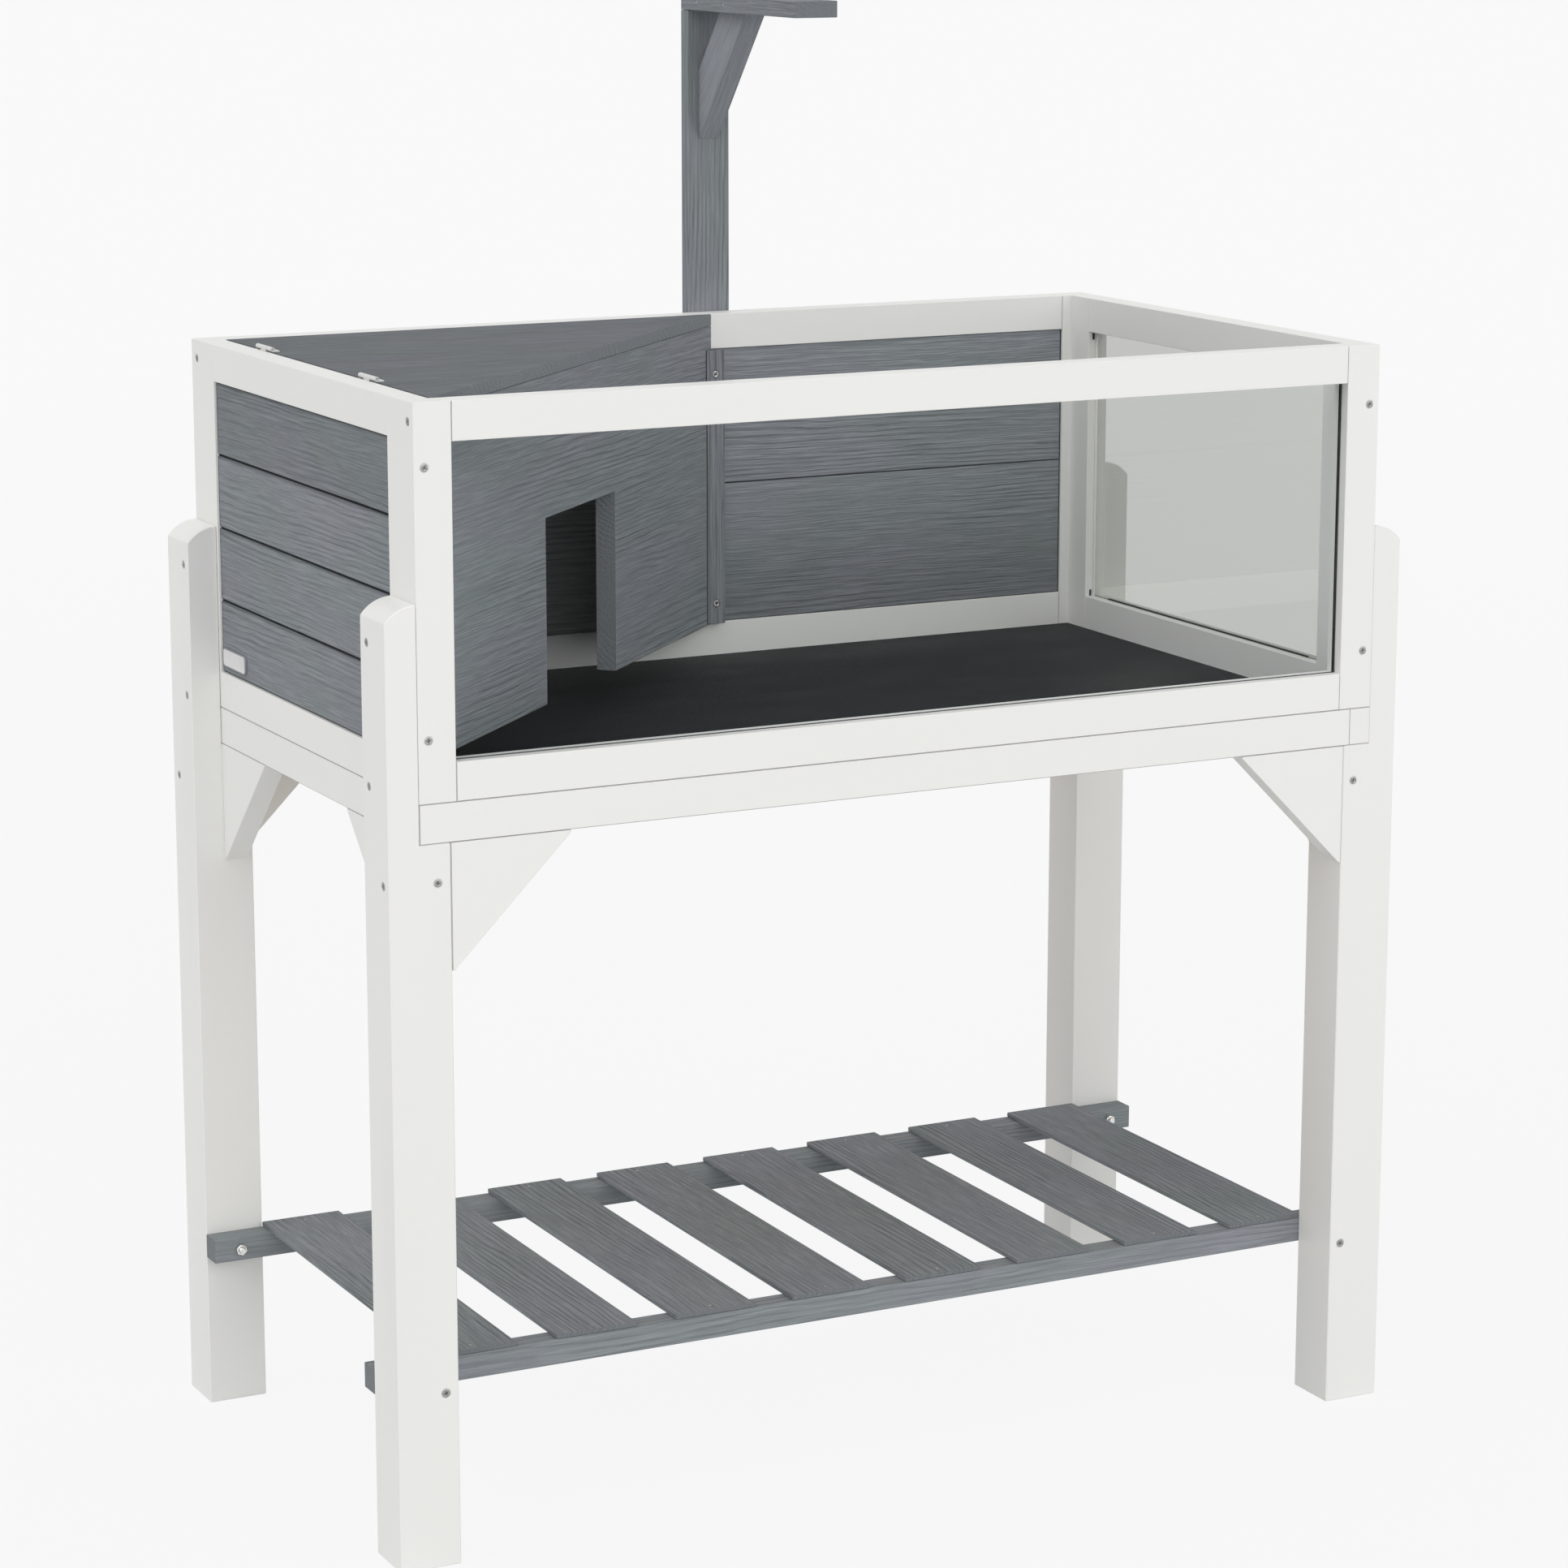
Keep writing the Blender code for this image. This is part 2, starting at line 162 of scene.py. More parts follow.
def edit_faces(item, wanted):
    """Go into edit mode with the faces selected whose middle and normal pass the test."""
    pick(item)
    bpy.ops.object.mode_set(mode="EDIT")
    bpy.ops.mesh.select_mode(type="FACE")
    bpy.ops.mesh.select_all(action="DESELECT")
    bpy.ops.object.mode_set(mode="OBJECT")
    for face in item.data.polygons:
        face.select = wanted(face.center, face.normal)
    bpy.ops.object.mode_set(mode="EDIT")


def edit_edges(item, wanted):
    """Go into edit mode with the edges selected whose two ends pass the test."""
    pick(item)
    bpy.ops.object.mode_set(mode="EDIT")
    bpy.ops.mesh.select_mode(type="EDGE")
    bpy.ops.mesh.select_all(action="DESELECT")
    bpy.ops.object.mode_set(mode="OBJECT")
    points = item.data.vertices
    for edge in item.data.edges:
        first, second = edge.vertices
        edge.select = wanted(points[first].co, points[second].co)
    bpy.ops.object.mode_set(mode="EDIT")


def leave_edit():
    bpy.ops.object.mode_set(mode="OBJECT")


def faces_up(middle, normal):
    return normal.z > 0.9


def faces_down(middle, normal):
    return normal.z < -0.9


def cut(item, cutter):
    """Cut one object with another, and throw the cutter away."""
    pick(item)
    boolean = item.modifiers.new("cut", "BOOLEAN")
    boolean.operation = "DIFFERENCE"
    boolean.solver = "EXACT"
    boolean.object = cutter
    bpy.ops.object.modifier_apply(modifier=boolean.name)
    bpy.data.objects.remove(cutter, do_unlink=True)


def soften(item, width, segments=2):
    """Round the sharp edges of a finished piece and shade it smooth."""
    pick(item)
    bevel = item.modifiers.new("eased edges", "BEVEL")
    bevel.width = width
    bevel.segments = segments
    bevel.limit_method = "ANGLE"
    bevel.angle_limit = math.radians(35)
    bpy.ops.object.modifier_apply(modifier=bevel.name)
    bpy.ops.object.shade_smooth_by_angle(angle=math.radians(35))


def settle(piece, body, material):
    """Give a finished piece its finish and let it ride on its body."""
    piece.data.materials.clear()
    piece.data.materials.append(material)
    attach(piece, body)
    return piece


def placed_copy(pattern, name, point, outward, turn=0.0):
    """A copy of a pattern modelled about the origin, with its own mesh, turned to face outward."""
    place = Matrix.Translation(point) @ outward.to_track_quat("Z", "Y").to_matrix().to_4x4()
    mesh = pattern.data.copy()
    mesh.name = name
    mesh.transform(place @ Matrix.Rotation(turn, 4, "Z"))
    copy = bpy.data.objects.new(name, mesh)
    bpy.context.scene.collection.objects.link(copy)
    return copy


# Building materials

def node(tree, kind, inputs=None, **settings):
    """Add a shader node. Its inputs are given values, or the sockets that feed them."""
    made = tree.nodes.new(kind)
    for name, value in settings.items():
        setattr(made, name, value)
    for key, value in (inputs or {}).items():
        if isinstance(value, bpy.types.NodeSocket):
            tree.links.new(value, made.inputs[key])
        else:
            made.inputs[key].default_value = value
    return made


def sum_up(tree, operation, first, second=0.0, third=0.0):
    """The result of a Math node. Only a multiplication with addition has a third input."""
    inputs = {0: first, 1: second}
    if operation == "MULTIPLY_ADD":
        inputs[2] = third
    return node(tree, "ShaderNodeMath", inputs, operation=operation).outputs[0]


def noise(tree, vector, stretch, detail=2.0, roughness=0.5):
    """Noise whose cells are drawn out along the grain: stretch is cells to the metre on each axis."""
    scaled = node(tree, "ShaderNodeVectorMath", {0: vector, 1: stretch}, operation="MULTIPLY")
    made = node(tree, "ShaderNodeTexNoise",
                {"Vector": scaled.outputs[0], "Scale": 1.0, "Detail": detail, "Roughness": roughness})
    return made.outputs["Fac"]


def spread(tree, value, low, high, new_low=0.0, new_high=1.0):
    """Stretch a range of a value over a new range."""
    made = node(tree, "ShaderNodeMapRange", {"Value": value, "From Min": low, "From Max": high,
                                             "To Min": new_low, "To Max": new_high})
    made.interpolation_type = "SMOOTHSTEP"
    return made.outputs["Result"]


def blend_colours(tree, share, first, second, way="MIX"):
    made = node(tree, "ShaderNodeMix", {0: share, 6: first, 7: second}, data_type="RGBA", blend_type=way)
    return made.outputs[2]


def new_group(name, inputs, outputs):
    """An empty shader node group with named sockets."""
    tree = bpy.data.node_groups.new(name, "ShaderNodeTree")
    kinds = {"value": "NodeSocketFloat", "colour": "NodeSocketColor", "vector": "NodeSocketVector"}
    for label, kind, start in inputs:
        socket = tree.interface.new_socket(name=label, in_out="INPUT", socket_type=kinds[kind])
        if start is not None:
            socket.default_value = start
    for label, kind in outputs:
        tree.interface.new_socket(name=label, in_out="OUTPUT", socket_type=kinds[kind])
    return tree, tree.nodes.new("NodeGroupInput").outputs, tree.nodes.new("NodeGroupOutput")


def finish_group(tree, output, **sockets):
    for label, socket in sockets.items():
        tree.links.new(socket, output.inputs[label])
    return tree


def brushed_grain():
    """Relief and tone of brushed softwood, and a mask of painted shade at the seams between boards. The
    vector runs along the grain on X and across it on Y.
    """
    tree, given, output = new_group(
        "brushed grain",
        [("Vector", "vector", None), ("Board Start", "value", WHOLE_START),
         ("Board Pitch", "value", WHOLE_PITCH), ("Seam Width", "value", SEAM_SHADE_WIDTH),
         ("Groove Width", "value", NO_LINE), ("Waviness", "value", 0.013), ("Contrast", "value", 1.0)],
        [("Relief", "value"), ("Tone", "value"), ("Seam", "value")])
    parts = node(tree, "ShaderNodeSeparateXYZ", {0: given["Vector"]}).outputs
    across = sum_up(tree, "SUBTRACT", parts["Y"], given["Board Start"])
    boards = sum_up(tree, "DIVIDE", across, given["Board Pitch"])
    number = sum_up(tree, "FLOOR", boards)
    along = sum_up(tree, "MULTIPLY_ADD", number, 3.71, parts["X"])
    depth = sum_up(tree, "MULTIPLY_ADD", number, 1.37, parts["Z"])
    place = node(tree, "ShaderNodeCombineXYZ", {0: along, 1: parts["Y"], 2: depth}).outputs[0]

    drift = sum_up(tree, "SUBTRACT", noise(tree, place, (2.2, 9, 9), 2.0), 0.5)
    ripple = sum_up(tree, "MULTIPLY_ADD", noise(tree, place, (22, 60, 60), 1.0), 0.0020, -0.0010)
    sway = sum_up(tree, "MULTIPLY_ADD", drift, given["Waviness"], ripple)
    shift = node(tree, "ShaderNodeCombineXYZ", {0: 0.0, 1: sway, 2: sway}).outputs[0]
    wavy = node(tree, "ShaderNodeVectorMath", {0: place, 1: shift}, operation="ADD").outputs[0]

    swell = noise(tree, wavy, (1.4, 22, 22), 2.0, 0.4)
    steps = node(tree, "ShaderNodeVectorMath", {0: wavy, 1: (0, 1000, 620)}, operation="DOT_PRODUCT")
    rings = sum_up(tree, "SINE", sum_up(tree, "MULTIPLY_ADD", swell, 34.0, steps.outputs["Value"]))
    late_wood = spread(tree, rings, -1.0, -0.1, -0.34, 0.06)
    patches = spread(tree, noise(tree, place, (3, 14, 14), 2.0), 0.40, 0.62, 0.10, 1.0)
    fibres = noise(tree, wavy, (15, 700, 700), 3.0, 0.6)
    hairs = sum_up(tree, "MULTIPLY_ADD", noise(tree, wavy, (50, 1700, 1700), 1.0), 0.30, -0.15)
    relief = sum_up(tree, "MULTIPLY_ADD", late_wood, patches, hairs)
    relief = sum_up(tree, "ADD", spread(tree, fibres, 0.34, 0.66, -0.22, 0.22), relief)
    relief = sum_up(tree, "MULTIPLY_ADD", relief, given["Contrast"], 0.55)

    tone = spread(tree, noise(tree, place, (4.5, 9, 9), 2.0), 0.36, 0.64)
    # Seam mask, painted shade: dark at the seam between two boards, with a softer shade just below it
    # (the groove)
    fraction = sum_up(tree, "FRACT", boards)
    far = sum_up(tree, "SUBTRACT", 1.0, fraction)
    nearest = sum_up(tree, "MULTIPLY", sum_up(tree, "MINIMUM", fraction, far), given["Board Pitch"])
    reach = sum_up(tree, "DIVIDE", nearest, given["Seam Width"])
    to_next = sum_up(tree, "MULTIPLY", far, given["Board Pitch"])
    groove = spread(tree, sum_up(tree, "DIVIDE", to_next, given["Groove Width"]), 0.0, 1.0, 0.5, 0.0)
    seam = sum_up(tree, "MAXIMUM", spread(tree, reach, 0.62, 0.92, 1.0, 0.0), groove)
    return finish_group(tree, output, Relief=relief, Tone=tone, Seam=seam)


def brushed_paint():
    """Slight unevenness of paint on planed wood. The vector runs along the grain on X."""
    tree, given, output = new_group(
        "brushed paint",
        [("Vector", "vector", None), ("Fresh", "colour", (0.8, 0.8, 0.77, 1)),
         ("Handled", "colour", (0.7, 0.7, 0.66, 1))],
        [("Color", "colour"), ("Relief", "value"), ("Roughness", "value")])
    cloud = spread(tree, noise(tree, given["Vector"], (2.5, 9, 9), 3.0), 0.35, 0.75)
    strokes = noise(tree, given["Vector"], (11, 420, 420), 2.0)
    peel = noise(tree, given["Vector"], (520, 620, 620), 1.0)
    handled = sum_up(tree, "MULTIPLY_ADD", cloud, 0.10, sum_up(tree, "MULTIPLY", strokes, 0.05))
    colour = blend_colours(tree, handled, given["Fresh"], given["Handled"])
    relief = sum_up(tree, "MULTIPLY_ADD", peel, 0.35, sum_up(tree, "MULTIPLY", strokes, 0.65))
    gloss = spread(tree, cloud, 0.0, 1.0, 0.40, 0.52)
    return finish_group(tree, output, Color=colour, Relief=relief, Roughness=gloss)


def worn_metal():
    """Blotches and fine scratches of handled, plated metal."""
    tree, given, output = new_group(
        "worn metal",
        [("Vector", "vector", None), ("Bright", "colour", (0.6, 0.6, 0.58, 1)),
         ("Dull", "colour", (0.4, 0.4, 0.4, 1))],
        [("Color", "colour"), ("Relief", "value"), ("Roughness", "value")])
    blotch = spread(tree, noise(tree, given["Vector"], (700, 700, 700), 2.0), 0.35, 0.65)
    scratch = noise(tree, given["Vector"], (900, 4200, 2600), 2.0)
    colour = blend_colours(tree, blotch, given["Bright"], given["Dull"])
    gloss = spread(tree, blotch, 0.0, 1.0, 0.26, 0.42)
    return finish_group(tree, output, Color=colour, Relief=scratch, Roughness=gloss)


def dimpled_sheet():
    """Fine even dimples and faint wipe marks of rolled plastic."""
    tree, given, output = new_group(
        "dimpled sheet", [("Vector", "vector", None)],
        [("Relief", "value"), ("Wiped", "value")])
    dimples = noise(tree, given["Vector"], (900, 900, 900), 1.0)
    wiped = spread(tree, noise(tree, given["Vector"], (5, 11, 11), 3.0), 0.3, 0.7)
    return finish_group(tree, output, Relief=dimples, Wiped=wiped)


grain_group = brushed_grain()
paint_group = brushed_paint()
metal_group = worn_metal()
sheet_group = dimpled_sheet()


def new_material(name):
    material = bpy.data.materials.new(name)
    material.use_nodes = True
    tree = material.node_tree
    shader = tree.nodes["Principled BSDF"]
    return material, tree, shader


def use_group(tree, group, inputs):
    return node(tree, "ShaderNodeGroup", inputs, node_tree=group).outputs


def feed(tree, shader, **sockets):
    names = {"colour": "Base Color", "roughness": "Roughness", "normal": "Normal"}
    for key, socket in sockets.items():
        tree.links.new(socket, shader.inputs[names[key]])


def bump(tree, height, distance, strength):
    made = node(tree, "ShaderNodeBump", {"Height": height, "Distance": distance, "Strength": strength})
    return made.outputs[0]


def mix_shaders(tree, share, first, second):
    return node(tree, "ShaderNodeMixShader", {0: share, 1: first.outputs[0], 2: second.outputs[0]})


def turned_coordinates(tree, along, across, centre=(0, 0, 0)):
    """Object coordinates turned so that X runs along the grain and Y across the board's face."""
    depth = along.cross(across)
    turn = Matrix((along, across, depth)).to_euler("XYZ")
    object_place = node(tree, "ShaderNodeTexCoord").outputs["Object"]
    mapping = node(tree, "ShaderNodeMapping", {"Vector": object_place, "Location": centre,
                                               "Rotation": turn})
    return mapping.outputs[0]


def faces_along(tree, direction, low, high, new_low, new_high):
    """A value that changes with how far a face looks along a direction."""
    facing = node(tree, "ShaderNodeTexCoord").outputs["Normal"]
    turned = node(tree, "ShaderNodeVectorMath", {0: facing, 1: direction}, operation="DOT_PRODUCT")
    return spread(tree, turned.outputs["Value"], low, high, new_low, new_high)


def painted_gap_shade(tree, gaps, width):
    """One on the lines of painted shade where timber meets its neighbours.

    Each gap is a direction, the line's place on it, and the way that the face looks.
    """
    place = node(tree, "ShaderNodeTexCoord").outputs["Object"]
    painted_shade = 0.0
    for direction, reach, outlook in gaps:
        run = node(tree, "ShaderNodeVectorMath", {0: place, 1: direction}, operation="DOT_PRODUCT")
        off = sum_up(tree, "ABSOLUTE", sum_up(tree, "SUBTRACT", run.outputs["Value"], reach))
        line = spread(tree, off, width * 0.7, width, 1.0, 0.0)
        line = sum_up(tree, "MULTIPLY", line, faces_along(tree, outlook, 0.6, 0.8, 0.0, 1.0))
        painted_shade = sum_up(tree, "MAXIMUM", painted_shade, line)
    return painted_shade


def stained_wood(name, along, across, shade, start=WHOLE_START, pitch=WHOLE_PITCH, seam=SEAM_SHADE_WIDTH,
                 centre=(0, 0, 0), groove=NO_LINE, fade=None, painted_top_shade=1.0, end_shade=1.0,
                 contrast=1.0, gaps=()):
    """Blue-grey stain over brushed softwood, with the grain along one direction.

    Boards repeat at a pitch across the grain. The seam between two of them and a softer groove below it
    are painted shade. Shade lightens or darkens the stain as a whole; top shade darkens the faces that
    look up, as painted shade; end shade sets the end grain. Contrast is that of the grain. Fade is two
    heights and the shade at each. Gaps are lines of painted shade where the board meets its neighbours:
    each is a direction, the line's place on it and the way that the face looks.
    """
    material, tree, shader = new_material(name)
    vector = turned_coordinates(tree, along, across, centre)
    grain = use_group(tree, grain_group,
                      {"Vector": vector, "Board Start": start, "Board Pitch": pitch, "Seam Width": seam,
                       "Groove Width": groove, "Contrast": contrast})

    def shaded(tone, share=1.0):
        return (*(part * share * shade for part in tone), 1)

    colour = blend_colours(tree, grain["Relief"], shaded(STAIN_HOLLOW), shaded(STAIN_CREST))
    tint = blend_colours(tree, grain["Tone"], shaded(STAIN_GREEN), shaded(STAIN_BLUE))
    colour = blend_colours(tree, 0.38, colour, tint)

    # Faces that look up are darkened by the top shade, as painted shade
    share = faces_along(tree, ALONG_Z, 0.5, 0.9, 1.0, painted_top_shade)
    if fade:
        place = node(tree, "ShaderNodeTexCoord").outputs["Object"]
        height = node(tree, "ShaderNodeSeparateXYZ", {0: place}).outputs["Z"]
        share = sum_up(tree, "MULTIPLY", share, spread(tree, height, *fade))
    share = node(tree, "ShaderNodeCombineXYZ", {0: share, 1: share, 2: share}).outputs[0]
    colour = blend_colours(tree, 1.0, colour, share, "MULTIPLY")
    ends = sum_up(tree, "MAXIMUM", faces_along(tree, along, 0.50, 0.68, 0.0, 0.7),
                  faces_along(tree, along, -0.68, -0.50, 0.7, 0.0))
    colour = blend_colours(tree, ends, colour, shaded(STAIN_END, end_shade))
    # The seams, on their faces and chamfers, and the gaps are darkened as painted shade
    sides = sum_up(tree, "MULTIPLY", faces_along(tree, across, -0.95, -0.85, 0.0, 1.0),
                   faces_along(tree, across, 0.85, 0.95, 1.0, 0.0))
    painted_shade = sum_up(tree, "MULTIPLY", grain["Seam"], sides)
    painted_shade = sum_up(tree, "MAXIMUM", painted_shade, painted_gap_shade(tree, gaps, GAP_SHADE_WIDTH))
    colour = blend_colours(tree, painted_shade, colour, GAP_SHADE_COLOUR)
    gloss = spread(tree, grain["Relief"], 0.2, 0.8, 0.82, 0.70)
    feed(tree, shader, colour=colour, roughness=gloss,
         normal=bump(tree, grain["Relief"], 0.0011, 0.75))
    shader.inputs["Specular IOR Level"].default_value = 0.14
    return material


def painted_wood(name, along, across, gaps=()):
    """Satin warm white paint on planed timber, with lines of painted shade at its joints."""
    material, tree, shader = new_material(name)
    vector = turned_coordinates(tree, along, across)
    painted = use_group(tree, paint_group, {"Vector": vector, "Fresh": PAINT_FRESH,
                                            "Handled": PAINT_HANDLED})
    # Joints between white timbers are darkened as painted shade
    painted_shade = painted_gap_shade(tree, gaps, JOINT_SHADE_WIDTH)
    colour = blend_colours(tree, painted_shade, painted["Color"], JOINT_SHADE_COLOUR)
    feed(tree, shader, colour=colour, roughness=painted["Roughness"],
         normal=bump(tree, painted["Relief"], 0.0002, 0.35))
    shader.inputs["Specular IOR Level"].default_value = 0.4
    return material


def plated_steel(name, bright, dull):
    material, tree, shader = new_material(name)
    vector = node(tree, "ShaderNodeTexCoord").outputs["Object"]
    worn = use_group(tree, metal_group, {"Vector": vector, "Bright": bright, "Dull": dull})
    feed(tree, shader, colour=worn["Color"], roughness=worn["Roughness"],
         normal=bump(tree, worn["Relief"], 0.00008, 0.4))
    shader.inputs["Metallic"].default_value = 1.0
    return material


def rolled_plastic(name, clean, dusty, rough, sheen=0.5):
    material, tree, shader = new_material(name)
    shader.inputs["Specular IOR Level"].default_value = sheen
    vector = node(tree, "ShaderNodeTexCoord").outputs["Object"]
    sheet = use_group(tree, sheet_group, {"Vector": vector})
    colour = blend_colours(tree, sheet["Wiped"], clean, dusty)
    gloss = spread(tree, sheet["Wiped"], 0.0, 1.0, rough, rough + 0.10)
    feed(tree, shader, colour=colour, roughness=gloss, normal=bump(tree, sheet["Relief"], 0.0002, 0.3))
    return material


def clear_sheet(name, tint, sheen):
    """Clear acrylic. Shadow and diffuse rays pass it, so that it doesn't darken what is behind it beyond
    its tint; a grey tint is painted shade.
    """
    material, tree, shader = new_material(name)
    vector = node(tree, "ShaderNodeTexCoord").outputs["Object"]
    sheet = use_group(tree, sheet_group, {"Vector": vector})
    gloss = spread(tree, sheet["Wiped"], 0.0, 1.0, 0.0, 0.003)
    feed(tree, shader, roughness=gloss)
    shader.inputs["Base Color"].default_value = tint
    shader.inputs["Transmission Weight"].default_value = 1.0
    shader.inputs["IOR"].default_value = 1.49
    shader.inputs["Specular IOR Level"].default_value = sheen
    shader.inputs["Specular Tint"].default_value = (sheen * 2, sheen * 2, sheen * 2, 1)
    passing = node(tree, "ShaderNodeBsdfTransparent", {"Color": tint})
    rays = node(tree, "ShaderNodeLightPath").outputs
    through = sum_up(tree, "MAXIMUM", rays["Is Shadow Ray"], rays["Is Diffuse Ray"])
    mixed = mix_shaders(tree, through, shader, passing)
    tree.links.new(mixed.outputs[0], tree.nodes["Material Output"].inputs["Surface"])
    return material


def raw_plywood():
    material, tree, shader = new_material("birch plywood")
    vector = turned_coordinates(tree, ALONG_X, ALONG_Y)
    grain = use_group(tree, grain_group, {"Vector": vector, "Waviness": 0.09})
    colour = blend_colours(tree, grain["Relief"], (0.50, 0.36, 0.22, 1), (0.68, 0.54, 0.37, 1))
    tone = sum_up(tree, "MULTIPLY", grain["Tone"], 0.25)
    colour = blend_colours(tree, tone, colour, (0.58, 0.42, 0.25, 1))
    feed(tree, shader, colour=colour, normal=bump(tree, grain["Relief"], 0.0003, 0.3))
    shader.inputs["Roughness"].default_value = 0.7
    return material


# Finishes of the house

def lines_at(direction, places, outlooks):
    """Lines of painted shade at some places on a direction, one for each way that the faces look there.
    """
    return [(direction, place, way) for place in places for way in outlooks]


# Which way the slanted pieces run, and where the boards begin and repeat
partition_run = Vector((0.71491, 0.69922, 0)).normalized()
brace_run = Vector((0, -0.107, 0.129)).normalized()
side_plank_low, side_plank_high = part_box("left_plank_1")
rear_plank_low, rear_plank_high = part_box("rear_plank_1")
first_slat_low, first_slat_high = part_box("shelf_slat_1")
plank_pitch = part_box("left_plank_2")[0].z - side_plank_low.z
rear_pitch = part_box("rear_plank_2")[0].z - rear_plank_low.z
slat_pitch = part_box("shelf_slat_2")[0].x - first_slat_low.x
slat_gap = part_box("shelf_slat_2")[0].x - first_slat_high.x

# Places of the painted shade lines where timbers meet
apron_low, apron_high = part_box("front_apron")
front_rail_low, front_rail_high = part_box("front_top_rail")
batten_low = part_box("hide_batten")[0]
lid_low, lid_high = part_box("hide_lid")
rail_joints = lines_at(ALONG_X, (front_rail_low.x, front_rail_high.x), FRONT_AND_REAR)
apron_joints = lines_at(ALONG_X, (apron_low.x, apron_high.x), FRONT_AND_REAR)
level_joints = lines_at(ALONG_Z, (apron_low.z, apron_high.z), FRONT_AND_REAR + LEFT_AND_RIGHT)
gusset_joints = [(ALONG_X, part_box("gusset_front_left")[0].x, FRONTWARD),
                 (ALONG_X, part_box("gusset_front_right")[1].x, FRONTWARD)]
side_gaps = lines_at(ALONG_Y, (side_plank_low.y, side_plank_high.y), LEFT_AND_RIGHT)
rear_gaps = lines_at(ALONG_X, (rear_plank_low.x, rear_plank_high.x), FRONT_AND_REAR)
lid_gaps = [(ALONG_X, lid_low.x, UPWARD), (ALONG_Y, lid_high.y, UPWARD)]

paint = {
    "x": painted_wood("white paint, grain along x", ALONG_X, ALONG_Z, level_joints + rail_joints),
    "apron": painted_wood("white paint, aprons", ALONG_X, ALONG_Z, level_joints + apron_joints),
    "y": painted_wood("white paint, grain along y", ALONG_Y, ALONG_Z, level_joints),
    "z": painted_wood("white paint, grain along z", ALONG_Z, ALONG_X),
    "gusset": painted_wood("white paint, gussets", ALONG_X, ALONG_Z, level_joints + gusset_joints),
}
stain = {
    "side planks": stained_wood("grey stain, side planks", ALONG_Y, ALONG_Z, 1.39,
                                start=side_plank_low.z, pitch=plank_pitch, seam=0.0015, groove=0.0050,
                                fade=(0.950, 0.962, 1.03, 0.88), contrast=0.8, gaps=side_gaps),
    "rear planks": stained_wood("grey stain, rear planks", ALONG_X, ALONG_Z, 1.38,
                                start=rear_plank_low.z, pitch=rear_pitch, seam=0.0009,
                                centre=(2.3, 0, 0.7), fade=(0.75, 0.88, 0.82, 1.14), gaps=rear_gaps),
    "slats": stained_wood("grey stain, shelf slats", ALONG_Y, -ALONG_X, 1.40,
                          start=slat_gap / 2 - first_slat_low.x, pitch=slat_pitch, seam=NO_LINE),
    "shelf rails": stained_wood("grey stain, shelf rails", ALONG_X, ALONG_Z, 1.51, centre=(4.1, 0, 0),
                                contrast=0.7),
    "partition": stained_wood("grey stain, partition", partition_run, ALONG_Z, 1.44, centre=(1.9, 0, 0),
                              end_shade=1.55, contrast=0.85),
    # The lid's faces that look up are made darker as painted shade
    "lid": stained_wood("grey stain, lid", ALONG_X, ALONG_Y, 1.38, centre=(7.7, 0, 0), painted_top_shade=0.68,
                        end_shade=1.3, gaps=lid_gaps),
    "batten": stained_wood("grey stain, batten", ALONG_Z, ALONG_X, 1.36, contrast=1.15,
                           gaps=[(ALONG_X, batten_low.x, FRONTWARD)]),
    "post": stained_wood("grey stain, lamp post", ALONG_Z, ALONG_X, 1.36, contrast=0.8),
    "arm": stained_wood("grey stain, lamp arm", ALONG_Y, ALONG_Z, 1.35, centre=(5.3, 0, 0),
                        contrast=0.8),
    # The brace is lighter than the other stains: partly its own tone, partly painted light that makes up
    # for its faces that look down
    "brace": stained_wood("grey stain, brace", brace_run, ALONG_X, 1.63, contrast=0.8),
}
steel = plated_steel("zinc-plated steel", (0.80, 0.80, 0.78, 1), (0.62, 0.62, 0.61, 1))
dark_steel = plated_steel("dull screw steel", (0.40, 0.40, 0.39, 1), (0.25, 0.25, 0.245, 1))
liner = rolled_plastic("black liner", (0.0105, 0.0130, 0.0150, 1), (0.0150, 0.0180, 0.0200, 1),
                       0.50, 0.07)
# Black of the glazing beads, as painted shade of the grooves, and of the clips on the side sheet
glazing = rolled_plastic("black glazing strip", (0.006, 0.006, 0.006, 1), (0.012, 0.012, 0.012, 1), 0.55)
plate_face = rolled_plastic("plate face", (0.80, 0.80, 0.80, 1), (0.72, 0.72, 0.72, 1), 0.30)
# The rim is a darker grey than the real pale rim, so that it also stands for the shadow line round the
# plate: partly painted shadow
rim_and_shadow_line = rolled_plastic("plate rim", (0.33, 0.34, 0.36, 1), (0.27, 0.28, 0.30, 1), 0.35)
front_sheet = clear_sheet("clear acrylic, front", (0.97, 0.98, 0.98, 1), 0.05)
# The side sheet's grey tint darkens all that is seen through it: painted shade for a dimmer background
# behind the side window
shaded_side_sheet = clear_sheet("clear acrylic, side", (0.63, 0.635, 0.61, 1), 0.3)
plywood = raw_plywood()


